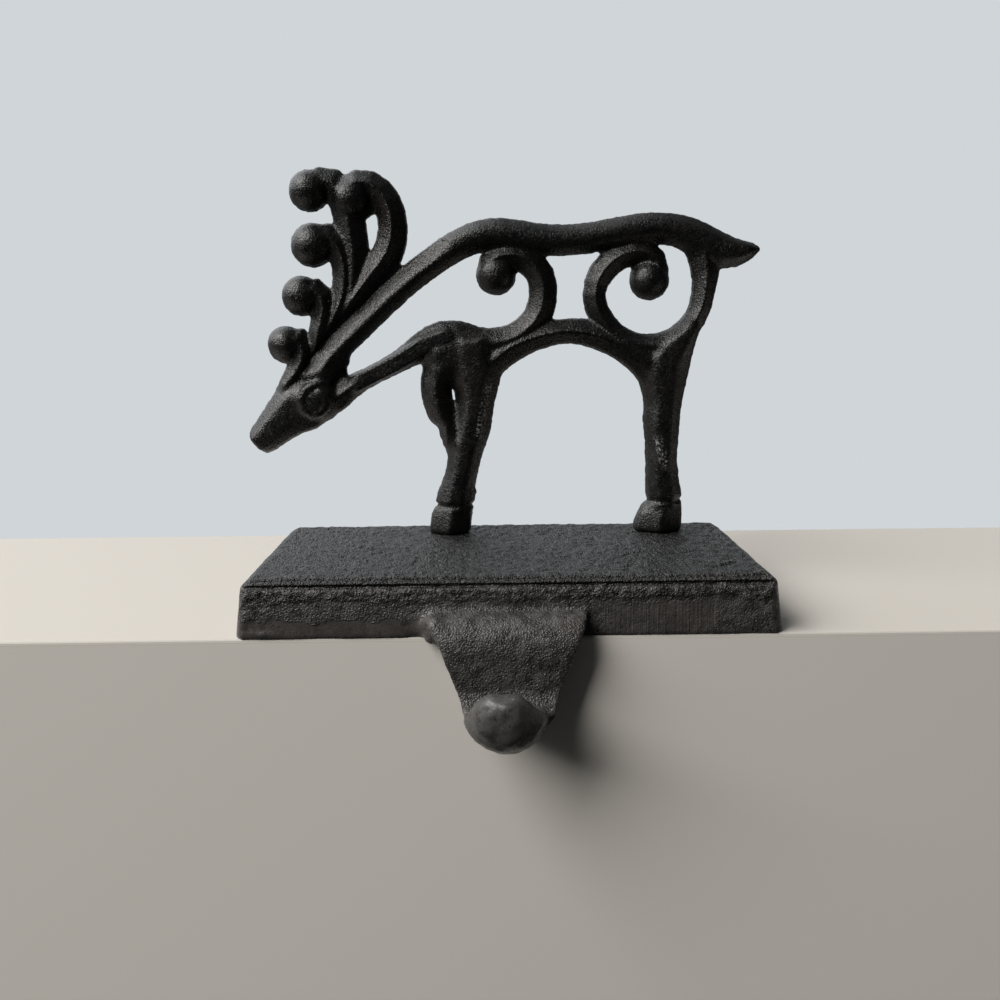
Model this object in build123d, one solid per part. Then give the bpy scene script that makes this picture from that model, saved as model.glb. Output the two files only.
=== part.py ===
from build123d import *
from math import ceil, cos, hypot, radians, sin, tan
import os

# Mantel stocking holder in black cast iron.
# Millimetres, +Z up, -Y to the front of the mantel.
# The origin is the centre of the block's underside, which sits on the mantel shelf.

# Base block, with a broad bevel round its top that is narrow at the back
base_width = 135.6
base_depth = 71.0
base_height = 14.2
base_draft_deg = 6.0
base_corner_radius = 2.6
bevel_drop = 1.6
bevel_front = 2.4
bevel_side = 2.6
bevel_back = 1.2

# Hook: a broad tongue down the mantel's front edge that turns up into a round knob
shoulder_height = 6.2
shoulder_ledge = 0.8
shoulder_drop = 8.2
root_bury = 5.0
tongue_thickness = 7.6
tongue_drop = 10.7
trough_radius = 4.6
tip_thickness = 9.2
tip_rise = 3.2
knob_radius = 9.5
knob_turn_deg = 37.0
knob_bands = 4
tongue_half_widths = ((6.2, 19.6), (-4.4, 15.4), (-15.0, 11.4))
hook_offset = -0.5

# Figure: front-to-back sizes, each measured from the casting's parting plane
figure_setback = 13.0
bar_half_depth = 4.6
scroll_half_depth = 4.4
belly_half_depth = 4.8
leg_half_depth = 5.2
bent_leg_half_depth = 4.7
head_half_depth = 5.0
hoof_half_depth = 6.1
web_half_depth = 1.7
tine_half_depths = (4.1, 4.9, 4.3, 4.5, 4.2)
slender_ratio = 1.7
land_share = 0.32
leg_flat_share = 0.40
spine_flat_share = 0.42
curl_facet_length = 3.6
head_flat_share = 0.45

# Figure: balls that the scrolls curl into, as (x, height above the soles)
tine_ball_radii = (5.7, 4.9, 6.1, 5.6, 5.2)
tine_ball_places = ((-54.6, 98.9), (-42.7, 96.7), (-54.2, 84.0), (-58.0, 69.8), (-63.1, 56.0))
body_ball_radius = 5.6
ball_sides = 12
ball_bands = 5
body_ball_places = ((-2.1, 75.3), (41.9, 73.5))

# Figure: bars as stations of (x, height above the soles, half width)
spine = (
    (-57.0, 45.8, 2.6), (-50.0, 53.3, 3.8), (-41.1, 61.6, 3.8), (-33.1, 69.1, 3.9),
    (-25.5, 75.4, 3.9), (-18.1, 80.6, 4.0), (-11.0, 84.6, 4.1), (-3.5, 86.6, 4.3),
    (5.0, 85.9, 4.3), (14.0, 84.8, 4.2), (23.0, 85.2, 4.1), (34.0, 86.9, 4.2),
    (44.0, 87.9, 4.2), (50.5, 87.0, 4.4), (56.4, 84.3, 4.9), (62.3, 81.5, 5.0),
    (66.5, 80.9, 4.0), (69.6, 81.3, 2.9), (72.4, 81.9, 1.6), (73.6, 82.2, 0.7),
)
throat_and_fore_scroll = (
    (-54.5, 37.6, 3.6), (-48.8, 40.6, 3.7), (-44.4, 43.8, 3.1), (-40.0, 46.2, 2.7),
    (-34.5, 48.9, 2.8), (-29.0, 51.8, 3.1), (-23.3, 55.4, 4.2), (-15.8, 58.0, 4.7),
    (-8.0, 56.2, 4.4), (-1.0, 56.2, 4.1), (5.2, 58.6, 4.0), (9.6, 63.2, 3.9),
    (11.4, 69.5, 3.9), (10.4, 75.4, 3.9), (6.4, 79.6, 4.0), (0.6, 80.8, 3.6),
    (-4.0, 78.8, 3.1), (-5.4, 75.4, 2.0),
)
belly = (
    (-5.5, 48.5, 4.6), (1.6, 54.6, 4.4), (9.0, 57.6, 3.8), (16.0, 59.0, 3.4),
    (23.0, 58.9, 3.6), (30.0, 57.0, 4.1), (37.0, 53.8, 4.8), (43.0, 49.0, 5.6),
)
hind_scroll_curl = (
    (44.0, 72.6, 1.8), (45.0, 76.4, 2.4), (42.6, 80.2, 3.3), (37.5, 81.4, 3.6),
    (32.0, 79.4, 3.6), (28.2, 75.6, 3.5),
)
ring_place = (41.9, 70.7)
ring_radius = 15.8
ring_half_width = 3.1
ring_start_deg = 180
ring_end_deg = 360
ring_step_deg = 30
rump = ((58.0, 76.6, 4.1), (55.8, 83.0, 4.2))
hind_leg = (
    (54.8, 62.8, 2.0), (53.2, 58.8, 3.4), (49.3, 54.0, 6.0), (46.4, 47.5, 7.3),
    (46.5, 42.0, 6.2), (46.4, 36.0, 5.4), (46.3, 29.0, 5.0), (46.4, 22.5, 4.5),
    (46.6, 16.0, 4.8), (47.2, 12.0, 5.1), (47.0, 8.0, 5.3),
)
front_leg = (
    (-9.5, 57.0, 7.4), (-8.8, 50.0, 7.8), (-8.4, 44.5, 6.9), (-8.6, 38.5, 5.4),
    (-9.4, 33.0, 5.4), (-10.6, 28.0, 5.2), (-11.9, 23.5, 4.9), (-12.6, 19.5, 4.6),
    (-13.9, 14.2, 4.8), (-14.6, 10.8, 5.4), (-15.3, 8.0, 5.4),
)
bent_leg = (
    (-18.5, 55.0, 3.8), (-19.2, 47.5, 4.6), (-20.0, 42.5, 4.3), (-19.2, 38.2, 4.2),
    (-17.3, 33.0, 3.8), (-15.0, 28.0, 3.4), (-13.2, 23.0, 2.2),
)
head = (
    (-50.0, 42.0, 4.6), (-55.5, 40.4, 7.2), (-60.2, 38.2, 7.8), (-64.6, 34.8, 6.3),
    (-68.4, 31.2, 5.2), (-71.4, 28.4, 4.3), (-72.8, 27.2, 3.5),
)
tines = (
    ((-54.5, 99.6, 3.8), (-50.4, 101.4, 4.0), (-46.6, 99.4, 4.3), (-44.1, 93.0, 4.3),
     (-42.6, 78.5, 4.2), (-43.4, 71.5, 3.4), (-46.0, 64.5, 1.8)),
    ((-48.0, 62.5, 1.5), (-42.2, 69.8, 3.2), (-37.6, 75.6, 4.0), (-33.1, 81.3, 4.3),
     (-31.4, 87.5, 4.1), (-32.0, 93.5, 3.9), (-34.8, 98.5, 3.8), (-39.6, 100.9, 3.7),
     (-44.0, 99.8, 3.2), (-46.0, 96.5, 2.4)),
    ((-53.6, 86.2, 3.2), (-49.6, 86.2, 3.5), (-46.4, 82.5, 3.7), (-45.2, 77.0, 3.7),
     (-45.6, 71.0, 3.5), (-47.8, 65.3, 2.9), (-51.5, 58.5, 1.5)),
    ((-57.4, 71.6, 3.0), (-53.6, 71.6, 2.9), (-51.5, 67.6, 3.3), (-52.0, 63.2, 3.6),
     (-53.4, 58.6, 3.0), (-55.0, 53.0, 1.6)),
    ((-62.4, 57.6, 2.8), (-59.0, 57.6, 3.1), (-57.9, 53.4, 3.4), (-59.4, 49.2, 3.6),
     (-61.9, 46.0, 3.0), (-65.4, 41.5, 1.5)),
)
web_outline = (
    (-47.2, 43.5), (-46.1, 47.5), (-45.6, 51.0), (-44.6, 56.0), (-29.0, 77.0), (-31.5, 81.0),
    (-36.6, 76.8), (-39.2, 78.6), (-39.2, 91.0), (-36.6, 92.8), (-33.5, 94.5), (-37.0, 98.0),
    (-46.5, 95.0), (-47.5, 73.0), (-54.0, 61.0), (-60.5, 48.0), (-57.0, 42.0),
)

# Figure: hooves as slices of (height, x, half width, share of the hoof's depth)
front_hoof = (
    (9.4, -14.9, 4.0, 0.70), (7.0, -15.6, 5.6, 0.90), (3.6, -16.2, 5.9, 0.97), (0.0, -16.7, 6.1, 1.0),
)
hind_hoof = (
    (9.4, 46.9, 4.2, 0.70), (7.0, 46.5, 6.0, 0.90), (3.6, 45.8, 6.8, 0.97), (0.0, 45.4, 7.1, 1.0),
)
hoof_land_share = 0.45

# Figure: eye scroll in relief on both cheeks
eye_place = (-55.8, 40.3)
eye_radius = 5.0
eye_well_radius = 2.7
eye_height = 0.9
eye_root = 1.4
eye_taper_deg = 22.0
eye_sides = 12

# Screws that hold the figure down
screw_diameter = 4.0
screw_head_diameter = 7.6
thread_engagement = 5.8
screw_socket_width = 2.5
screw_socket_depth = 1.5
screw_recess = 0.4
seat_gap = 0.02
screw_clearance = 0.25
thread_fit = 0.05
tapped_spare_depth = 1.5

figure_y = base_depth / 2 - figure_setback
screw_places = (front_hoof[-1][1], hind_hoof[-1][1])
draft_inset = (base_height - bevel_drop) * tan(radians(base_draft_deg))
flat_enough = 0.0000001
ON_FLOOR = (Align.CENTER, Align.CENTER, Align.MIN)


def corners(plane, half_width, half_depth, flat_share, side_share=land_share):
    """Section alike on both faces: a ridge or a flat, two sloped flanks and a narrow land at each edge."""
    flat = flat_share * half_width
    side = side_share * half_depth
    crest = ((flat, half_depth), (-flat, half_depth)) if flat else ((0, half_depth),)
    face = ((half_width, side), *crest, (-half_width, side))
    ring = face + tuple((-across, -deep) for across, deep in face)
    return [plane.from_local_coords((across, deep, 0)) for across, deep in ring]


def smooth_skin(rings):
    """Solid with smooth faces through rings of corners."""
    return Solid.make_loft([Wire.make_polygon(ring, close=True) for ring in rings])


def flat_facets(near, far):
    """Flat faces between two neighbouring rings: a quad where its corners are level, or else two triangles."""
    for index in range(len(near)):
        quad = [near[index - 1], near[index], far[index], far[index - 1]]
        normal = (quad[1] - quad[0]).cross(quad[2] - quad[0]).normalized()
        if abs(normal.dot(quad[3] - quad[0])) < flat_enough:
            yield Face(Wire.make_polygon(quad, close=True))
        else:
            yield Face(Wire.make_polygon(quad[:3], close=True))
            yield Face(Wire.make_polygon([quad[0], quad[2], quad[3]], close=True))


def faceted_skin(rings):
    """Solid with flat facets through rings of corners."""
    faces = [Face(Wire.make_polygon(ring, close=True)) for ring in (rings[0], rings[-1])]
    for near, far in zip(rings, rings[1:]):
        faces += flat_facets(near, far)
    return Solid(Shell(faces))


def heading(places, index):
    """Unit direction of a run of places, taken from the neighbours on both sides."""
    before = places[max(index - 1, 0)]
    after = places[min(index + 1, len(places) - 1)]
    run, rise = after[0] - before[0], after[1] - before[1]
    return run / hypot(run, rise), rise / hypot(run, rise)


def plane_across(place, run, rise):
    """Plane across a bar at a place in the parting plane, square to its direction."""
    return Plane(origin=place, x_dir=(-rise, 0, run), z_dir=(run, 0, rise))


def bar(stations, half_depth, flat_share=0):
    """Tapered bar along stations in the figure's parting plane, thinner where it is slender."""
    rings = []
    for index, (x, height, half_width) in enumerate(stations):
        plane = plane_across((x, figure_y, base_height + height), *heading(stations, index))
        rings.append(corners(plane, half_width, min(half_depth, slender_ratio * half_width), flat_share))
    return smooth_skin(rings)


def width_along(stations, share):
    """Half width at a share of a bar's length."""
    runs = [0]
    for here, there in zip(stations, stations[1:]):
        runs.append(runs[-1] + hypot(there[0] - here[0], there[1] - here[1]))
    index = max(i for i in range(len(runs) - 1) if runs[i] <= share * runs[-1])
    part = (share * runs[-1] - runs[index]) / (runs[index + 1] - runs[index])
    return stations[index][2] + part * (stations[index + 1][2] - stations[index][2])


def curl(stations, half_depth, flat_share=0):
    """Tapered bar on a smooth curve through its stations, in short flat-sided lengths."""
    path = Edge.make_spline([Vector(x, figure_y, base_height + height) for x, height, _ in stations])
    lengths = ceil(path.length / curl_facet_length)
    rings = []
    for step in range(lengths + 1):
        share = step / lengths
        along = path.tangent_at(share)
        half_width = width_along(stations, share)
        plane = plane_across(path.position_at(share), along.X, along.Z)
        rings.append(corners(plane, half_width, min(half_depth, slender_ratio * half_width), flat_share))
    return faceted_skin(rings)


def hind_scroll():
    """Curl over the rear ball that runs on as a ring round the rear window, up into the rump."""
    ring = []
    for angle in range(ring_start_deg, ring_end_deg + 1, ring_step_deg):
        x = ring_place[0] + ring_radius * cos(radians(angle))
        height = ring_place[1] + ring_radius * sin(radians(angle))
        ring.append((x, height, ring_half_width))
    return curl(hind_scroll_curl + tuple(ring) + rump, scroll_half_depth)


def ball(place, radius):
    """Rounded end of a scroll, as bands of flat facets about the front-to-back axis."""
    rings = []
    for band in range(ball_bands + 1):
        tilt = radians(180 * (band + 0.5) / (ball_bands + 1))
        reach = radius * sin(tilt) / sin(radians(90 - 90 / (ball_bands + 1)))
        ring = []
        for side in range(ball_sides):
            turn = radians(360 * side / ball_sides)
            ring.append(Vector(
                place[0] + reach * cos(turn),
                figure_y - radius * cos(tilt),
                base_height + place[1] + reach * sin(turn),
            ))
        rings.append(ring)
    return faceted_skin(rings)


def hoof(slices):
    """Hoof that flares to its sole, with an arris down the middle of both faces."""
    rings = []
    for height, x, half_width, share in slices:
        plane = Plane(origin=(x, figure_y, base_height + height), x_dir=(1, 0, 0), z_dir=(0, 0, 1))
        rings.append(corners(plane, half_width, hoof_half_depth * share, 0, hoof_land_share))
    return smooth_skin(rings)


def antler_web():
    """Thin plate that closes the hollows between the roots of the tines and behind the jaw."""
    outline = [(x, figure_y - web_half_depth, base_height + height) for x, height in web_outline]
    face = Face(Wire.make_polygon(outline, close=True))
    return extrude(face, amount=2 * web_half_depth, dir=(0, 1, 0))


def eye_scroll(side):
    """Raised ring on one cheek: side is -1 at the front and 1 at the back."""
    root = figure_y + side * (head_half_depth - eye_root)
    seat = Pos(eye_place[0], root, base_height + eye_place[1]) * Rot(-90 * side, 0, 0)
    boss = extrude(RegularPolygon(eye_radius, eye_sides), amount=eye_root + eye_height, taper=eye_taper_deg)
    well = extrude(RegularPolygon(eye_well_radius, eye_sides), amount=eye_height)
    well = Pos(0, 0, eye_root) * well
    return seat * (boss - well)


def make_figure():
    """Openwork reindeer, cast in one piece, with a tapped hole in each hoof."""
    pieces = [
        curl(spine, bar_half_depth, spine_flat_share),
        curl(throat_and_fore_scroll, scroll_half_depth),
        curl(belly, belly_half_depth),
        hind_scroll(),
        bar(hind_leg, leg_half_depth, leg_flat_share),
        bar(front_leg, leg_half_depth, leg_flat_share),
        bar(bent_leg, bent_leg_half_depth),
        bar(head, head_half_depth, head_flat_share),
        hoof(front_hoof),
        hoof(hind_hoof),
        antler_web(),
    ]
    pieces += [curl(stem, half_depth) for stem, half_depth in zip(tines, tine_half_depths)]
    pieces += [ball(place, radius) for place, radius in zip(tine_ball_places, tine_ball_radii)]
    pieces += [ball(place, body_ball_radius) for place in body_ball_places]
    pieces += [eye_scroll(side) for side in (-1, 1)]
    figure = Part()
    for piece in pieces:
        figure += piece
    hole_depth = thread_engagement + tapped_spare_depth
    hole = Cylinder(screw_diameter / 2 + thread_fit, hole_depth, align=ON_FLOOR)
    for x in screw_places:
        figure -= Pos(x, figure_y, base_height) * hole
    return figure


def hook():
    """Tongue, bend and round knob: a J-shaped profile run across the front and trimmed to its front view."""
    front = -base_depth / 2
    face = front - tongue_thickness
    trough = face - trough_radius
    tip = trough - trough_radius
    nose = tip - tip_thickness
    bend_radius = (front - nose) / 2
    bottom = -tongue_drop - bend_radius
    inset = bend_radius - knob_radius
    knob_y = nose + bend_radius - inset * cos(radians(knob_turn_deg))
    knob_z = -tongue_drop - inset * sin(radians(knob_turn_deg))
    root = front + draft_inset * shoulder_height / (base_height - bevel_drop) - shoulder_ledge
    profile = make_face(Curve() + [
        Line((root, shoulder_height), (front + root_bury, shoulder_height)),
        Line((front + root_bury, shoulder_height), (front + root_bury, 0)),
        Line((front + root_bury, 0), (front, 0)),
        Line((front, 0), (front, -tongue_drop)),
        ThreePointArc((front, -tongue_drop), ((front + nose) / 2, bottom), (nose, -tongue_drop)),
        ThreePointArc((nose, -tongue_drop), ((nose + tip) / 2, tip_rise - tongue_drop), (tip, -tongue_drop)),
        ThreePointArc((tip, -tongue_drop), (trough, -tongue_drop - trough_radius), (face, -tongue_drop)),
        Line((face, -tongue_drop), (face, shoulder_height - shoulder_drop)),
        TangentArc((face, shoulder_height - shoulder_drop), (root, shoulder_height), tangent=(0, 1)),
    ])
    reach = tongue_half_widths[0][1]
    strip = extrude(Plane.YZ * profile, amount=reach, both=True)
    turns = [radians(90 * band / knob_bands) for band in range(knob_bands + 1)]
    dome = [(knob_radius * cos(turn), knob_y - knob_radius * sin(turn)) for turn in turns]
    knob_half = make_face(Polyline((0, trough), (knob_radius, trough), *dome, close=True))
    knob = Pos(0, 0, knob_z) * revolve(knob_half, Axis.Y)
    right = [(half_width, height) for height, half_width in tongue_half_widths]
    left = [(-across, height) for across, height in reversed(right)]
    shield = make_face(Curve() + [
        ThreePointArc(*right),
        ThreePointArc(right[-1], (0, knob_z - knob_radius), left[0]),
        ThreePointArc(*left),
        Line(left[-1], right[0]),
    ])
    tongue_trim = Pos(0, trough, 0) * extrude(Plane.XZ * shield, amount=trough - front - root_bury)
    return Pos(hook_offset, 0, 0) * (strip & (knob + tongue_trim))


def block():
    """Drafted block with its top bevelled."""
    drafted = Pos(0, 0, base_height - bevel_drop) * RectangleRounded(
        base_width - 2 * draft_inset, base_depth - 2 * draft_inset, base_corner_radius
    )
    top = Pos(0, (bevel_front - bevel_back) / 2, base_height) * RectangleRounded(
        base_width - 2 * (draft_inset + bevel_side),
        base_depth - 2 * draft_inset - bevel_front - bevel_back,
        base_corner_radius,
    )
    return loft([RectangleRounded(base_width, base_depth, base_corner_radius), drafted, top], ruled=True)


def countersunk_hole():
    """Clearance hole with its countersink at the underside, deep enough to sink the screw's head."""
    radius = screw_diameter / 2 + screw_clearance
    sink = screw_head_diameter / 2 + screw_recess + seat_gap
    through = Cylinder(radius, base_height, align=ON_FLOOR)
    return through + Cone(sink, radius, sink - radius, align=ON_FLOOR)


def make_base():
    """Block and hook as one casting, with two countersunk holes."""
    base = block() + hook()
    for x in screw_places:
        base -= Pos(x, figure_y, 0) * countersunk_hole()
    return base


def make_screws():
    """Countersunk machine screws, head down, one under each hoof."""
    radius = screw_diameter / 2
    head_radius = screw_head_diameter / 2
    length = base_height - screw_recess + thread_engagement
    screw = Cylinder(radius, length, align=ON_FLOOR)
    screw += Cone(head_radius, radius, head_radius - radius, align=ON_FLOOR)
    socket = RegularPolygon(screw_socket_width / 2, 6, major_radius=False)
    screw -= extrude(socket, amount=screw_socket_depth)
    return Compound([Pos(x, figure_y, screw_recess) * screw.solid() for x in screw_places])


os.makedirs("parts", exist_ok=True)
export_step(make_base(), "parts/base_with_hook.step")
export_step(make_figure(), "parts/reindeer_figure.step")
export_step(make_screws(), "parts/leg_screws.step")
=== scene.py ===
import math

import bpy
import numpy as np
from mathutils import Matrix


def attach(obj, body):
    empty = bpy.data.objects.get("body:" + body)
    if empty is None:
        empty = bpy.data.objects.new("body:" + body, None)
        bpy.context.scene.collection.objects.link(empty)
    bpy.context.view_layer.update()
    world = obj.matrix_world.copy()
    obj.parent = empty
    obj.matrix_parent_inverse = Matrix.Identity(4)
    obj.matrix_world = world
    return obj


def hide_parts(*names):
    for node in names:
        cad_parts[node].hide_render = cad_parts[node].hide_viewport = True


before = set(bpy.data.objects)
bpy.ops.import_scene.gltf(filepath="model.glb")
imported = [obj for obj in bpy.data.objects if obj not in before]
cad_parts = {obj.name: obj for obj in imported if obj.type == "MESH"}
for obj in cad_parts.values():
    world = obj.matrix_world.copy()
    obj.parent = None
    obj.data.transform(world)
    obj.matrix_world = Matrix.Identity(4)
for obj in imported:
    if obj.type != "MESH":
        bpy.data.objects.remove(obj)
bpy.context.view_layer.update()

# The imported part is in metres. The casting's own sizes are written in millimetres.
MM = 0.001

# The block's top, the foot of its bevel and its front face, and the plane of the figure's parting line.
BLOCK_TOP = 14.2
BEVEL_FOOT = 12.6
BLOCK_FRONT = -35.5
PARTING_Y = 22.5

# Places on the figure, each as x and height above the block's top.
CHEST = (-10.0, 53.0)
THIGH = (47.0, 54.0)
CHEEK = (-55.0, 40.3)
EYE = (-54.8, 40.6)
EYE_CORNER = (-47.5, 44.0)
BENT_FOOT = (-20.7, 29.6)

# Width of the small faces of each casting's skin, and the most by which a bar's sides are moved.
FIGURE_FACES = 0.525
BASE_FACES = 0.56
SIDE_DEPTH = 3.0

SMOOTH_SHARE = 0.5
LEAST_WEIGHT = 0.01


def only(piece):
    """Selects one piece and nothing else."""
    bpy.ops.object.select_all(action="DESELECT")
    piece.select_set(True)
    bpy.context.view_layer.objects.active = piece


def apply_modifiers(piece):
    """Applies a piece's modifiers in their order."""
    only(piece)
    for modifier in list(piece.modifiers):
        bpy.ops.object.modifier_apply(modifier=modifier.name)


def casting_from(node, name):
    """Copy of a solid's mesh as a new piece, with its loose triangles merged."""
    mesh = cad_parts[node].data.copy()
    mesh.name = name
    mesh.materials.clear()
    piece = bpy.data.objects.new(name, mesh)
    bpy.context.scene.collection.objects.link(piece)
    only(piece)
    bpy.ops.object.mode_set(mode="EDIT")
    bpy.ops.mesh.select_all(action="SELECT")
    bpy.ops.mesh.remove_doubles(threshold=0.01 * MM)
    bpy.ops.object.mode_set(mode="OBJECT")
    return piece


def join_to(piece, extras):
    """Joins the extra pieces into one."""
    bpy.ops.object.select_all(action="DESELECT")
    for extra in extras:
        extra.select_set(True)
    piece.select_set(True)
    bpy.context.view_layer.objects.active = piece
    bpy.ops.object.join()


def round_ball(place, radius, depth_share=1.0):
    """Ball in millimetres, finely divided so that it stays round, or flatter from front to back."""
    bpy.ops.object.select_all(action="DESELECT")
    bpy.ops.mesh.primitive_uv_sphere_add(
        segments=40, ring_count=24, radius=radius * MM, location=[c * MM for c in place]
    )
    ball = bpy.context.view_layer.objects.active
    ball.scale.y = depth_share
    bpy.ops.object.transform_apply(location=True, scale=True)
    return ball


def remesh(piece, face_width, rounds):
    """Turns the joined solids into one skin of small even faces and takes the edge off its corners."""
    skin = piece.modifiers.new("skin", "REMESH")
    skin.mode = "VOXEL"
    skin.voxel_size = face_width * MM
    smooth = piece.modifiers.new("smooth", "SMOOTH")
    smooth.factor = SMOOTH_SHARE
    smooth.iterations = rounds
    apply_modifiers(piece)


def places_of(piece):
    """The piece's points in millimetres."""
    flat = np.zeros(len(piece.data.vertices) * 3, np.float32)
    piece.data.vertices.foreach_get("co", flat)
    return flat.reshape(-1, 3) / MM


def normals_of(piece):
    """The piece's normals at its points."""
    flat = np.zeros(len(piece.data.vertices) * 3, np.float32)
    piece.data.vertices.foreach_get("normal", flat)
    return flat.reshape(-1, 3)


def fade(values, start, end):
    """0 before start, 1 after end, and smooth between them."""
    share = np.clip((values - start) / (end - start), 0, 1)
    return share * share * (3 - 2 * share)


def distance_to(line, x, height):
    """Distance of points from a line of places, in millimetres."""
    nearest = np.full(len(x), 1e9)
    for (ax, ah), (bx, bh) in zip(line, line[1:]):
        run, rise = bx - ax, bh - ah
        share = np.clip(((x - ax) * run + (height - ah) * rise) / (run * run + rise * rise), 0, 1)
        nearest = np.minimum(nearest, np.hypot(x - ax - share * run, height - ah - share * rise))
    return nearest


def weigh(piece, name, weights):
    """Vertex group whose weights were worked out from the points' places."""
    group = piece.vertex_groups.new(name=name)
    for index in np.nonzero(weights > LEAST_WEIGHT)[0]:
        group.add([int(index)], float(min(weights[index], 1.0)), "REPLACE")
    return group.name


def soften(piece, name, rounds, weights):
    """Rounds off part of the skin."""
    step = piece.modifiers.new(name, "SMOOTH")
    step.factor = SMOOTH_SHARE
    step.iterations = rounds
    step.vertex_group = weigh(piece, name, weights)
    apply_modifiers(piece)


def cloud(name, size, depth=2):
    """Soft noise for a displacement, with its size in millimetres."""
    texture = bpy.data.textures.new(name, "CLOUDS")
    texture.noise_scale = size * MM
    texture.noise_depth = depth
    return texture


def push(piece, name, height, weights=None, texture=None, middle=0.5, way="NORMAL"):
    """Moves the skin along its normals, or along an axis, by a height in millimetres."""
    step = piece.modifiers.new(name, "DISPLACE")
    step.strength = height * MM
    step.direction = way
    step.mid_level = middle if texture else 0.0
    if texture:
        step.texture = texture
        step.texture_coords = "LOCAL"
    if weights is not None:
        step.vertex_group = weigh(piece, name, weights)


# Looks of the iron and the steel


def new_node(tree, kind, **settings):
    """Adds a shader node and sets its properties or its inputs."""
    made = tree.nodes.new(kind)
    for key, value in settings.items():
        if hasattr(made, key):
            setattr(made, key, value)
        else:
            made.inputs[key.replace("_", " ")].default_value = value
    return made


def new_material(name):
    """Material with its node tree, its shader and the piece's own coordinates."""
    material = bpy.data.materials.new(name)
    material.use_nodes = True
    tree = material.node_tree
    place = new_node(tree, "ShaderNodeTexCoord").outputs["Object"]
    return material, tree, tree.nodes["Principled BSDF"], place


def axes_of(tree, place):
    """X, Y and Z of the coordinates."""
    split = new_node(tree, "ShaderNodeSeparateXYZ")
    tree.links.new(place, split.inputs[0])
    return split.outputs


def stretched(tree, place, scale):
    """Coordinates scaled along each axis."""
    made = new_node(tree, "ShaderNodeMapping")
    made.inputs["Scale"].default_value = scale
    tree.links.new(place, made.inputs["Vector"])
    return made.outputs[0]


def noise_at(tree, place, scale, detail=2.0, roughness=0.5, distortion=0.0):
    """Noise on the given coordinates."""
    made = new_node(tree, "ShaderNodeTexNoise", Scale=scale, Detail=detail, Roughness=roughness)
    made.inputs["Distortion"].default_value = distortion
    tree.links.new(place, made.inputs["Vector"])
    return made.outputs["Fac"]


def between(tree, value, low, high, to_low=0.0, to_high=1.0):
    """Smooth step from one level to another."""
    made = new_node(tree, "ShaderNodeMapRange", interpolation_type="SMOOTHSTEP")
    for key, number in (("From Min", low), ("From Max", high), ("To Min", to_low), ("To Max", to_high)):
        made.inputs[key].default_value = number
    tree.links.new(value, made.inputs["Value"])
    return made.outputs["Result"]


def worked_out(tree, operation, *values):
    """Result of an operation on values in turn, any of which may be a plain number."""
    result = values[0]
    for value in values[1:]:
        made = new_node(tree, "ShaderNodeMath", operation=operation)
        for slot, part in zip(made.inputs, (result, value)):
            if isinstance(part, (int, float)):
                slot.default_value = part
            else:
                tree.links.new(part, slot)
        result = made.outputs[0]
    return result


def times(tree, *values):
    """Product of several values."""
    return worked_out(tree, "MULTIPLY", *values)


def plus(tree, *values):
    """Sum of several values."""
    return worked_out(tree, "ADD", *values)


def minus(tree, first, second):
    """First value less the second."""
    return worked_out(tree, "SUBTRACT", first, second)


def most(tree, *values):
    """Largest of several values."""
    return worked_out(tree, "MAXIMUM", *values)


def past(tree, value, start, end, to_end=1.0):
    """0 before one level and 1, or another share, after the next, with both levels in millimetres."""
    return between(tree, value, start * MM, end * MM, 0.0, to_end)


def near(tree, value, middle, far, close):
    """1 close to a level and 0 far from it, in millimetres."""
    off = worked_out(tree, "ABSOLUTE", minus(tree, value, middle * MM), 0)
    return past(tree, off, far, close)


def blend(tree, share, first, second):
    """Mixes two colours."""
    made = new_node(tree, "ShaderNodeMix", data_type="RGBA")
    for key, value in ((0, share), (6, first), (7, second)):
        if isinstance(value, (tuple, list)):
            made.inputs[key].default_value = (*value, 1)
        elif isinstance(value, (int, float)):
            made.inputs[key].default_value = value
        else:
            tree.links.new(value, made.inputs[key])
    return made.outputs[2]


def new_group(name, inputs, outputs):
    """Node group with named sockets, its input node and its output node."""
    tree = bpy.data.node_groups.new(name, "ShaderNodeTree")
    for socket, kind, value in inputs:
        made = tree.interface.new_socket(name=socket, in_out="INPUT", socket_type=kind)
        if value is not None:
            made.default_value = value
    for socket, kind in outputs:
        tree.interface.new_socket(name=socket, in_out="OUTPUT", socket_type=kind)
    return tree, tree.nodes.new("NodeGroupInput"), tree.nodes.new("NodeGroupOutput")


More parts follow.
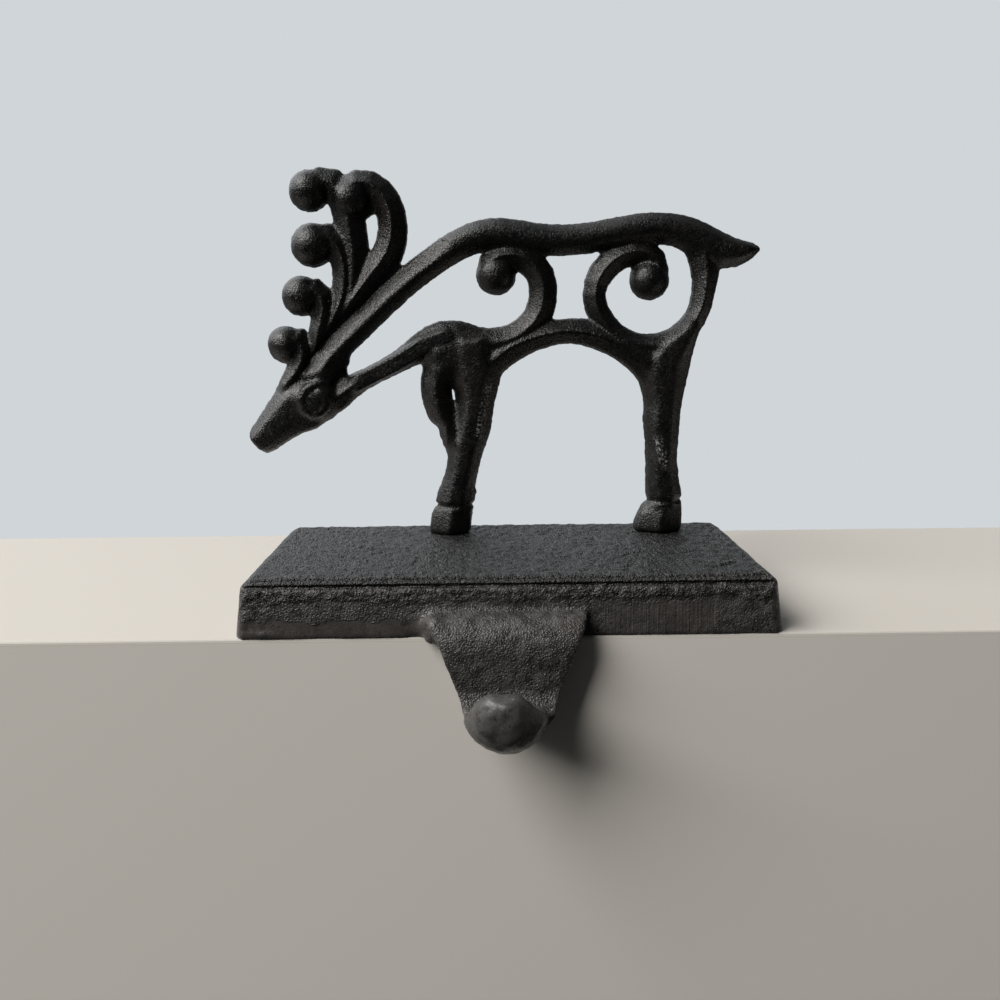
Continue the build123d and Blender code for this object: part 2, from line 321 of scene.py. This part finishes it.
def sand_grain_group():
    """Skin of a sand casting: close grains, finer grit between them, and a few pits."""
    tree, given, out = new_group(
        "sand_grain",
        (
            ("Vector", "NodeSocketVector", None),
            ("Grain", "NodeSocketFloat", 1500.0),
            ("Grit", "NodeSocketFloat", 0.5),
            ("Pitting", "NodeSocketFloat", 0.5),
        ),
        (("Height", "NodeSocketFloat"), ("Pits", "NodeSocketFloat")),
    )
    scaled = new_node(tree, "ShaderNodeVectorMath", operation="SCALE")
    tree.links.new(given.outputs["Vector"], scaled.inputs[0])
    tree.links.new(given.outputs["Grain"], scaled.inputs["Scale"])
    place = scaled.outputs[0]
    grains = new_node(tree, "ShaderNodeTexVoronoi", feature="SMOOTH_F1", Scale=1.0, Smoothness=0.5)
    tree.links.new(place, grains.inputs["Vector"])
    grain = between(tree, grains.outputs["Distance"], 0.75, 0.1)
    lumps = noise_at(tree, place, 0.35, 2.0, 0.5)
    grit = noise_at(tree, place, 1.6, 2.0, 0.6)
    # Hollows: dents in the relief, which the paint also darkens as painted shade through Pits.
    hollows_with_painted_shade = between(tree, noise_at(tree, place, 0.6, 1.0, 0.5), 0.36, 0.28)
    pits = times(tree, hollows_with_painted_shade, given.outputs["Pitting"])
    raised = plus(
        tree,
        times(tree, grain, 0.4),
        times(tree, lumps, 0.35),
        times(tree, grit, given.outputs["Grit"]),
    )
    tree.links.new(minus(tree, raised, times(tree, pits, 0.5)), out.inputs["Height"])
    tree.links.new(pits, out.inputs["Pits"])
    return tree


def black_paint_group():
    """Old black paint: near black, a little browner in patches, with small bare specks, and painted shade
    darkening the pits.
    """
    tree, given, out = new_group(
        "black_paint",
        (
            ("Vector", "NodeSocketVector", None),
            ("Dark", "NodeSocketColor", (0.0045, 0.0045, 0.0047, 1)),
            ("Pale", "NodeSocketColor", (0.011, 0.0105, 0.0102, 1)),
            ("Pits", "NodeSocketFloat", 0.0),
            ("Brown", "NodeSocketFloat", 0.3),
            ("Specks", "NodeSocketFloat", 0.5),
        ),
        (("Color", "NodeSocketColor"), ("Roughness", "NodeSocketFloat")),
    )
    rust, pit_painted_shade, bare_iron = (0.024, 0.018, 0.0155), (0.003, 0.003, 0.003), (0.42, 0.41, 0.39)
    place = given.outputs["Vector"]
    tone = between(tree, noise_at(tree, place, 300.0, 6.0, 0.75), 0.36, 0.64)
    paint = blend(tree, tone, given.outputs["Dark"], given.outputs["Pale"])
    patches = between(tree, noise_at(tree, place, 60.0, 3.0, 0.6), 0.48, 0.72)
    paint = blend(tree, times(tree, patches, given.outputs["Brown"]), paint, rust)
    # Painted shade: the pits are darkened to near black.
    paint = blend(tree, given.outputs["Pits"], paint, pit_painted_shade)
    chips = new_node(tree, "ShaderNodeTexVoronoi", feature="F1", Scale=420.0)
    tree.links.new(place, chips.inputs["Vector"])
    small = between(tree, chips.outputs["Distance"], 0.16, 0.08)
    apart = new_node(tree, "ShaderNodeSeparateColor")
    tree.links.new(chips.outputs["Color"], apart.inputs["Color"])
    rare = between(tree, apart.outputs["Red"], 0.965, 0.975)
    paint = blend(tree, times(tree, small, rare, given.outputs["Specks"]), paint, bare_iron)
    rough = between(tree, noise_at(tree, place, 1300.0, 2.0, 0.6), 0.35, 0.65, 0.25, 0.45)
    tree.links.new(paint, out.inputs["Color"])
    tree.links.new(rough, out.inputs["Roughness"])
    return tree


SAND_GRAIN = sand_grain_group()
BLACK_PAINT = black_paint_group()


def iron_material(name, grain, grit, pitting, brown, specks, dark, pale):
    """Painted cast iron with its own coarseness: the material, its coordinates and its two groups."""
    material, tree, _, place = new_material(name)
    skin = new_node(
        tree, "ShaderNodeGroup", node_tree=SAND_GRAIN, Grain=grain, Grit=grit, Pitting=pitting
    )
    paint = new_node(tree, "ShaderNodeGroup", node_tree=BLACK_PAINT, Brown=brown, Specks=specks)
    paint.inputs["Dark"].default_value = (*dark, 1)
    paint.inputs["Pale"].default_value = (*pale, 1)
    tree.links.new(place, skin.inputs["Vector"])
    tree.links.new(place, paint.inputs["Vector"])
    tree.links.new(skin.outputs["Pits"], paint.inputs["Pits"])
    return material, place, skin, paint


def finish_iron(material, colour, roughness, height, depth):
    """Joins the paint and the relief to the shader."""
    tree = material.node_tree
    shader = tree.nodes["Principled BSDF"]
    bump = new_node(tree, "ShaderNodeBump", Strength=1.0, Distance=depth * MM)
    tree.links.new(height, bump.inputs["Height"])
    tree.links.new(colour, shader.inputs["Base Color"])
    tree.links.new(roughness, shader.inputs["Roughness"])
    tree.links.new(bump.outputs["Normal"], shader.inputs["Normal"])
    return material


def figure_iron():
    """Paint of the reindeer: fine sand grain, with a painted highlight in flecks along two edges of the
    legs.
    """
    material, place, skin, paint = iron_material(
        "figure_iron", grain=2100.0, grit=0.5, pitting=0.4, brown=0.25, specks=0.35,
        dark=(0.0022, 0.0022, 0.0024), pale=(0.009, 0.0086, 0.0083),
    )
    painted_highlight_colour = (0.75, 0.75, 0.74)
    tree = material.node_tree
    x, y, z = axes_of(tree, place)
    # Painted highlight: bright flecks along an edge of the front shin and of the hind shank, on the near
    # side.
    lean = minus(tree, x, times(tree, z, 0.2))
    shin = times(tree, near(tree, lean, -16.2, 1.7, 0.6), near(tree, z, 51.0, 10.0, 6.0))
    lean = plus(tree, x, times(tree, z, 0.25))
    shank = times(tree, near(tree, lean, 55.2, 1.8, 0.6), near(tree, z, 38.0, 6.0, 2.0))
    flecks = between(tree, noise_at(tree, place, 1500.0, 3.0, 0.7), 0.5, 0.64)
    near_side = past(tree, y, 20.0, 19.0)
    painted_highlight = times(tree, most(tree, shin, times(tree, shank, 0.6)), flecks, near_side, 0.9)
    colour = blend(tree, painted_highlight, paint.outputs["Color"], painted_highlight_colour)
    roughness = times(tree, paint.outputs["Roughness"], 0.85)
    return finish_iron(material, colour, roughness, skin.outputs["Height"], 0.17)


def base_iron():
    """Paint of the base: paler front and hook as painted light, dark grain on top, a coarse front with
    ground patches, dark sides, a worn tip.
    """
    # Painted light: the base's paint is much paler than the figure's so that the front and the hook look
    # lit; the top and the sides are tinted back to dark below.
    material, place, skin, paint = iron_material(
        "base_iron", grain=1900.0, grit=0.5, pitting=0.8, brown=0.7, specks=0.5,
        dark=(0.026, 0.025, 0.0244), pale=(0.092, 0.085, 0.081),
    )
    tree = material.node_tree
    x, y, z = axes_of(tree, place)
    wander = noise_at(tree, place, 180.0, 3.0, 0.6)
    drift = times(tree, minus(tree, wander, 0.5), 1.5 * MM)
    ragged_y = plus(tree, y, drift)
    ragged_z = plus(tree, z, drift)
    patchy = plus(tree, z, times(tree, drift, 4.0))

    # Top, front and tip, and the sides behind the front, which are tinted dark without the front's painted
    # light
    top = past(tree, z, BEVEL_FOOT, 13.2)
    front = times(tree, past(tree, y, -33.0, -34.0), past(tree, z, -0.5, 0.5))
    tip = times(tree, past(tree, ragged_y, -48.5, -50.5), past(tree, z, 0.0, -1.0))
    sides_without_painted_light = past(tree, y, -31.2, -29.6, 0.75)

    # The front's two ground patches, the rough band above them and the space between
    low_left = times(tree, front, past(tree, x, -19.0, -22.0), past(tree, patchy, 5.0, 3.6))
    right = times(tree, front, near(tree, x, 37.0, 17.0, 11.0), past(tree, patchy, 9.0, 7.0))
    ground = most(tree, low_left, times(tree, right, 0.8))
    streaks = noise_at(tree, stretched(tree, place, (2400.0, 60.0, 45.0)), 1.0, 2.0, 0.5)
    band = times(tree, front, past(tree, patchy, 8.4, 9.8))
    rough = noise_at(tree, place, 800.0, 3.0, 0.7)
    pocks = times(tree, band, between(tree, rough, 0.5, 0.4))
    middle = times(tree, front, past(tree, z, 9.8, 8.8))

    # The two grooves along the front bevel
    upper = times(tree, near(tree, ragged_y, BLOCK_FRONT + 3.75, 0.5, 0.12), top)
    lower = times(tree, near(tree, ragged_z, BEVEL_FOOT - 0.25, 0.45, 0.1), past(tree, y, -33.2, -33.6))
    groove = times(tree, most(tree, upper, lower), near(tree, x, 0.0, 65.5, 63.0))
    broken = between(tree, noise_at(tree, place, 330.0, 2.0, 0.6), 0.34, 0.5, 0.25, 1.0)
    groove = times(tree, groove, broken)

    # Relief: sand grain, grinding streaks, the rough band, and the long grain on top
    smooth = most(tree, times(tree, top, 0.2), times(tree, middle, 0.3), times(tree, ground, 0.8), tip)
    grain_share = between(tree, smooth, 0.0, 1.0, 1.0, 0.05)
    grain_share = times(tree, grain_share, between(tree, top, 0.0, 1.0, 1.0, 2.0))
    long_grain = noise_at(tree, stretched(tree, place, (620.0, 250.0, 620.0)), 1.0, 3.0, 0.65)
    height = plus(
        tree,
        times(tree, skin.outputs["Height"], grain_share),
        times(tree, streaks, right, 0.6),
        times(tree, rough, most(tree, top, band), 1.6),
        times(tree, long_grain, top, 3.8),
    )
    height = minus(tree, height, times(tree, groove, 1.2))

    # Tints over the paint: dark top, dark sides without the painted light, painted glints, ground iron,
    # worn tip, and painted shade in the grooves and pocks
    glints = times(tree, top, between(tree, noise_at(tree, place, 1100.0, 2.0, 0.6), 0.57, 0.7))
    worn = times(tree, tip, between(tree, noise_at(tree, place, 160.0, 4.0, 0.6, 0.6), 0.35, 0.65))
    # Painted shade: the bevel's grooves and the pocks in the rough band are darkened to near black.
    hollows_with_painted_shade = most(tree, times(tree, groove, 0.75), times(tree, pocks, 0.85))
    colour = paint.outputs["Color"]
    for share, tint in (
        (times(tree, top, 0.75), (0.005, 0.005, 0.005)),
        (sides_without_painted_light, (0.006, 0.006, 0.006)),
        (times(tree, glints, 0.6), (0.12, 0.12, 0.118)),
        (times(tree, ground, 0.6), (0.075, 0.066, 0.062)),
        (times(tree, worn, 0.8), (0.085, 0.085, 0.083)),
        (hollows_with_painted_shade, (0.003, 0.003, 0.003)),
    ):
        colour = blend(tree, share, colour, tint)
    return finish_iron(material, colour, paint.outputs["Roughness"], height, 0.34)


def screw_material():
    """Zinc-plated steel with fine turning marks."""
    material, tree, shader, place = new_material("screw_steel")
    shader.inputs["Metallic"].default_value = 1.0
    clean_zinc, stained_zinc = (0.42, 0.41, 0.39), (0.25, 0.235, 0.21)
    stain = between(tree, noise_at(tree, place, 500.0, 3.0, 0.6), 0.35, 0.7)
    tree.links.new(blend(tree, stain, clean_zinc, stained_zinc), shader.inputs["Base Color"])
    tree.links.new(between(tree, stain, 0.0, 1.0, 0.3, 0.5), shader.inputs["Roughness"])
    bump = new_node(tree, "ShaderNodeBump", Strength=0.5, Distance=0.05 * MM)
    tree.links.new(noise_at(tree, place, 2600.0, 2.0, 0.5), bump.inputs["Height"])
    tree.links.new(bump.outputs["Normal"], shader.inputs["Normal"])
    return material


# The reindeer


def figure_balls(spots):
    """Balls on the parting plane, each at x and a height above the block, with its radius."""
    return [round_ball((x, PARTING_Y, BLOCK_TOP + height), radius) for x, height, radius in spots]


def figure_places(piece):
    """The figure's points in millimetres: x, y and the height above the block's top."""
    x, y, z = places_of(piece).T
    return x, y, z - BLOCK_TOP


def fade_from(place, x, height, start, end):
    """Fade by the distance from a place on the figure."""
    return fade(np.hypot(x - place[0], height - place[1]), start, end)


def past_head(x):
    """0 at the head and 1 from the bent foreleg on."""
    return fade(x, -40.0, -34.0)


def press_sides(piece, name, depth, weights, y):
    """Moves a bar's front and back toward the parting plane, or away from it, in millimetres."""
    push(piece, name + "_front", depth, weights * (y < PARTING_Y), way="Y")
    push(piece, name + "_back", -depth, weights * (y > PARTING_Y), way="Y")
    apply_modifiers(piece)


def reindeer():
    """Openwork reindeer: balls and an eye curl on the cast bars, with flash along the parting line."""
    piece = casting_from("reindeer_figure", "reindeer")
    curl_balls = (
        (-54.6, 98.9, 5.7), (-54.2, 84.0, 6.1), (-58.0, 69.8, 5.6),
        (-63.1, 56.0, 5.2), (-2.1, 75.3, 5.6), (41.9, 73.5, 5.6),
    )
    chest_web = (
        (-18.5, 53.0, 5.0), (-18.2, 48.5, 4.8), (-17.9, 46.7, 4.0), (-17.4, 34.2, 3.3), (-16.7, 30.5, 4.2),
    )
    neck_root = (
        (-49.3, 52.6, 4.5), (-50.5, 51.3, 4.7), (-51.7, 49.9, 4.9), (-52.7, 48.6, 5.0), (-53.6, 47.3, 5.0),
    )
    burrs = ((-19.6, 11.3, 0.9), (-9.2, 12.1, 0.9), (41.8, 23.6, 0.7), (51.3, 18.1, 0.7))
    extras = figure_balls(curl_balls)
    extras += [round_ball((-42.7, PARTING_Y + side, BLOCK_TOP + 96.7), 5.2) for side in (-1, 1)]
    extras += figure_balls(chest_web + neck_root)
    extras.append(round_ball((-15.4, PARTING_Y, BLOCK_TOP + 52.6), 8.8, 0.54))
    extras.append(round_ball((-54.6, PARTING_Y, BLOCK_TOP + 40.4), 7.0, 0.92))
    extras += figure_balls(burrs)
    join_to(piece, extras)
    remesh(piece, FIGURE_FACES, 5)

    # Rounded legs, chest, thigh, back, hooves and brow
    x, _, height = figure_places(piece)
    legs = fade(height, 56.0, 48.0) * fade(height, 8.5, 10.5) * past_head(x)
    chest = fade_from(CHEST, x, height, 13.0, 8.0)
    thigh = fade_from(THIGH, x, height, 12.0, 7.0)
    cheek = fade(x, -50.0, -56.0) * fade(height, 46.0, 40.0) * fade_from(CHEEK, x, height, 5.5, 7.0)
    back_line = (
        (-50, 53.3), (-33.1, 69.1), (-18.1, 80.6), (-3.5, 86.6),
        (14, 84.8), (44, 87.9), (56.4, 84.3), (70, 81.4),
    )
    back = fade(distance_to(back_line, x, height), 5.0, 3.0)
    hooves = fade(height, 10.0, 8.0) * past_head(x)
    eye = np.maximum(fade_from(EYE, x, height, 8.0, 5.5), fade_from(EYE_CORNER, x, height, 6.5, 4.0))
    soften(piece, "rounded_legs", 26, np.maximum.reduce([legs, chest, thigh]))
    soften(piece, "rounded_back", 34, np.maximum(back, 0.4 * cheek))
    soften(piece, "rounded_hooves", 20, hooves)
    soften(piece, "eye_mound", 20, eye)

    # Ridged neck
    x, y, height = figure_places(piece)
    crest = ((-53.0, 48.5), (-49.3, 52.6), (-40.4, 60.9), (-32.4, 68.4), (-24.8, 74.7), (-17.4, 79.9))
    from_line = distance_to(crest, x, height)
    neck = fade(height, 47.5, 51.0) * fade(x, -14.0, -20.0) * fade(from_line, 5.4, 4.6)
    over = np.abs(y - PARTING_Y) - 4.8 + 0.72 * np.maximum(from_line - 0.2, 0.0)
    ridged = neck * np.clip(over, 0.0, SIDE_DEPTH) / SIDE_DEPTH
    press_sides(piece, "neck", SIDE_DEPTH, ridged, y)
    soften(piece, "round_neck", 5, neck)

    # Broad flat throat
    x, y, height = figure_places(piece)
    throat_line = ((-43.0, 44.7), (-34.5, 48.9), (-29.0, 51.8), (-23.3, 55.4), (-17.0, 57.6))
    from_line = distance_to(throat_line, x, height)
    throat = fade(x, -46.0, -42.0) * fade(from_line, 2.8, 2.1)
    off_seam = np.abs(y - PARTING_Y)
    flat = throat * np.clip(4.3 - off_seam, 0.0, SIDE_DEPTH) / SIDE_DEPTH * (off_seam > 0.8)
    press_sides(piece, "throat", -SIDE_DEPTH, flat, y)
    soften(piece, "round_throat", 6, fade(from_line, 5.0, 4.0))

    # Slim end of the bent foreleg
    x, _, height = figure_places(piece)
    leftward = fade(-normals_of(piece)[:, 0], 0.1, 0.5)
    push(piece, "bent_foot", 1.5, fade_from(BENT_FOOT, x, height, 4.6, 1.6) * leftward, way="X")
    apply_modifiers(piece)
    soften(piece, "smooth_foot", 8, fade_from(BENT_FOOT, x, height, 7.0, 4.0))

    # Eye's spiral ridge and the crease above each hoof
    x, _, height = figure_places(piece)
    face = fade(np.abs(normals_of(piece)[:, 1]), 0.45, 0.75)
    spiral = (
        (-51.2, 45.2), (-53.7, 45.3), (-57.0, 43.8), (-58.6, 40.6), (-57.8, 37.5),
        (-55.6, 35.7), (-53.2, 36.4), (-51.3, 38.3), (-51.4, 41.4), (-53.1, 42.6),
    )
    ridge = face * fade(distance_to(spiral, x, height), 1.35, 0.45)
    push(piece, "eye_spiral", 0.6, ridge)
    crease = fade(np.abs(height - 8.6 - 0.9 * fade(x, 20.0, 30.0)), 1.0, 0.3) * past_head(x)
    push(piece, "hoof_crease", -0.55, crease)
    apply_modifiers(piece)
    soften(piece, "worn_creases", 2, np.maximum(ridge, fade(crease, 0.0, 0.2)))

    # Flash on the parting line, and the casting's unevenness
    seam = np.abs(places_of(piece)[:, 1] - PARTING_Y)
    push(piece, "flash", 0.5, fade(seam, 1.0, 0.45), cloud("flash_run", 1.4, 3), middle=0.1)
    push(piece, "hand_waves", 0.3, texture=cloud("hand_waves", 7.0))
    push(piece, "sand_lumps", 0.1, texture=cloud("sand_lumps", 0.9, 3))
    apply_modifiers(piece)
    return piece


# The base


def base():
    """Block and hook: grooves on the front bevel, creases and grain on top, a rough front, a worn tip."""
    piece = casting_from("base_with_hook", "base")
    fillets = (
        (-19.8, -36.2, 3.0, 2.2), (-19.4, -37.0, 0.4, 2.0), (-18.4, -38.6, 3.8, 2.4),
        (6.2, -50.8, -14.6, 2.8), (4.6, -51.4, -16.8, 2.6),
    )
    join_to(piece, [round_ball((x, y, z), radius) for x, y, z, radius in fillets])
    remesh(piece, BASE_FACES, 3)

    # Worn tip and rounded root of the hook
    x, y, z = places_of(piece).T
    hook = fade(y, BLOCK_FRONT - 0.2, BLOCK_FRONT - 1.6)
    tip = fade(y, -47.5, -50.5) * hook
    root = fade(z, 8.5, 7.0) * fade(z, -5.0, -1.0) * fade(np.abs(x + 0.5), 26.0, 22.0)
    root = root * fade(y, -33.0, -35.0)
    soften(piece, "worn_tip", 26, tip)
    shoulders = tip * fade(z, -15.0, -9.0) * fade(np.abs(x + 1.5), 2.0, 8.5)
    push(piece, "tip_shoulders", -3.2, shoulders, way="Z")
    push(piece, "full_tip", 0.7, tip)
    push(piece, "leaning_tip", -0.9, tip, way="X")
    apply_modifiers(piece)
    soften(piece, "rounded_tip", 8, tip)
    soften(piece, "blended_root", 30, root * fade(x, 4.0, -7.0))
    soften(piece, "root_corner", 5, root)

    # Grooves, creases and roughness
    x, y, z = places_of(piece).T
    _, ny, nz = normals_of(piece).T
    front = fade(-ny, 0.6, 0.9) * (1 - hook) * fade(z, 0.2, 1.2)
    band = front * fade(z, 8.8, 10.4)
    left_end = front * fade(x, -55.0, -61.0)
    top = fade(nz, 0.8, 0.95) * fade(z, 12.0, 13.5)
    upper = np.hypot(z - BLOCK_TOP, y - (BLOCK_FRONT + 3.7))
    lower = np.hypot(z - BEVEL_FOOT, y - (BLOCK_FRONT + 1.3))
    groove = np.maximum(fade(upper, 0.9, 0.35), fade(lower, 0.9, 0.35))
    creases = (
        ((40.7, -8.1), (47.9, -7.3), (53.1, -5.9)),
        ((50.7, -24.8), (54.2, -22.8), (59.1, -19.4), (60.2, -17.2)),
        ((29.7, -13.4), (33.2, -7.7), (37.1, -6.7)),
    )
    scored = np.maximum.reduce([fade(distance_to(line, x, y), 0.8, 0.3) for line in creases]) * top
    push(piece, "bevel_grooves", -0.5, groove * (1 - hook))
    push(piece, "top_creases", -0.35, scored)
    for name, height, size, depth, weights in (
        ("top_grain", 1.0, 2.6, 4, top),
        ("top_swells", 0.5, 6.0, 2, top * fade(x, 15.0, 40.0)),
        ("rough_front", 0.2, 2.6, 3, front),
        ("rough_band", 1.1, 1.5, 3, band),
        ("left_end_lumps", 1.1, 3.0, 2, left_end),
        ("tongue_grain", 0.34, 1.9, 4, hook * (1 - tip)),
        ("tip_facets", 0.8, 4.5, 1, tip),
    ):
        push(piece, name, height, weights, cloud(name, size, depth))
    push(piece, "block_waves", 0.4, texture=cloud("block_waves", 11.0))
    push(piece, "fine_lumps", 0.08, texture=cloud("fine_lumps", 1.2, 3))
    apply_modifiers(piece)
    return piece


for piece, node, iron in (
    (reindeer(), "reindeer_figure", figure_iron()),
    (base(), "base_with_hook", base_iron()),
):
    piece.data.materials.append(iron)
    only(piece)
    bpy.ops.object.shade_smooth()
    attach(piece, "root")
    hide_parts(node)

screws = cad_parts["leg_screws"]
screws.data.materials.clear()
screws.data.materials.append(screw_material())


# Shelf, light and camera


def shelf():
    """Plain pale shelf under the block, paler in front, partly as painted light, with the hook over its
    front edge.
    """
    middle, size = (0, 0.0264, -0.1), (0.8, 0.1234, 0.2)
    front_colour_with_painted_light, top_colour = (0.92, 0.87, 0.8), (0.58, 0.545, 0.495)
    bpy.ops.object.select_all(action="DESELECT")
    bpy.ops.mesh.primitive_cube_add(size=1, location=middle)
    slab = bpy.context.view_layer.objects.active
    slab.name = "shelf"
    slab.scale = size
    bpy.ops.object.transform_apply(location=True, scale=True)
    rounded = slab.modifiers.new("rounded", "BEVEL")
    rounded.width = 0.0008
    rounded.segments = 3
    apply_modifiers(slab)
    material, tree, shader, place = new_material("pale_shelf")
    # The front is paler than the top, partly as its own colour and partly as painted light on a face in
    # shade.
    upper = between(tree, axes_of(tree, place)["Z"], -1.2 * MM, -0.4 * MM)
    tree.links.new(blend(tree, upper, front_colour_with_painted_light, top_colour), shader.inputs["Base Color"])
    shader.inputs["Roughness"].default_value = 0.75
    slab.data.materials.append(material)


def facing(tree, way, toward):
    """How nearly a direction points one way, from -1 to 1."""
    made = new_node(tree, "ShaderNodeVectorMath", operation="DOT_PRODUCT")
    made.inputs[1].default_value = toward
    tree.links.new(way, made.inputs[0])
    return made.outputs["Value"]


def studio_light():
    """Window in front on the upper left, a bright high wall behind on the left, and a dim room."""
    dim_room, pale_side = (0.022, 0.022, 0.022), (0.17, 0.178, 0.185)
    bright_wall, backdrop = (1.7, 1.73, 1.77), (0.63, 0.665, 0.69)
    world = bpy.data.worlds.new("studio")
    bpy.context.scene.world = world
    world.use_nodes = True
    tree = world.node_tree
    sky = tree.nodes["Background"]
    way = new_node(tree, "ShaderNodeTexCoord").outputs["Generated"]
    room = between(tree, facing(tree, way, (-0.4, 0.7, 0.59)), -0.1, 0.95)
    light = blend(tree, room, dim_room, pale_side)
    high_wall = between(tree, facing(tree, way, (-0.57, 0.5, 0.65)), 0.72, 0.96)
    light = blend(tree, high_wall, light, bright_wall)
    path = new_node(tree, "ShaderNodeLightPath").outputs
    mirrored = most(tree, path["Is Glossy Ray"], path["Is Transmission Ray"])
    behind = between(tree, facing(tree, way, (0.0, 1.0, 0.0)), 0.86, 0.98)
    seen = most(tree, path["Is Camera Ray"], times(tree, mirrored, behind, 0.8))
    tree.links.new(blend(tree, seen, light, backdrop), sky.inputs["Color"])
    lamp = bpy.data.lights.new("window", "AREA")
    lamp.shape = "RECTANGLE"
    lamp.size = 2.6
    lamp.size_y = 2.2
    lamp.energy = 130.0
    lamp.color = (1.0, 0.985, 0.96)
    window = bpy.data.objects.new("window", lamp)
    bpy.context.scene.collection.objects.link(window)
    window.location = (-2.0, -1.0, 2.05)
    window.rotation_euler = (-window.location).to_track_quat("-Z", "Y").to_euler()


def camera():
    """Camera at the photograph's place."""
    lens = bpy.data.cameras.new("camera")
    lens.lens = 36.0
    lens.sensor_width = 36.0
    lens.clip_start = 0.01
    eye = bpy.data.objects.new("camera", lens)
    bpy.context.scene.collection.objects.link(eye)
    eye.location = (-0.0048605, -0.2715807, 0.0759454)
    eye.rotation_euler = [math.radians(turn) for turn in (79.94959, 0.51202, -0.73075)]
    bpy.context.scene.camera = eye


shelf()
studio_light()
camera()
bpy.context.scene.view_settings.view_transform = "Standard"
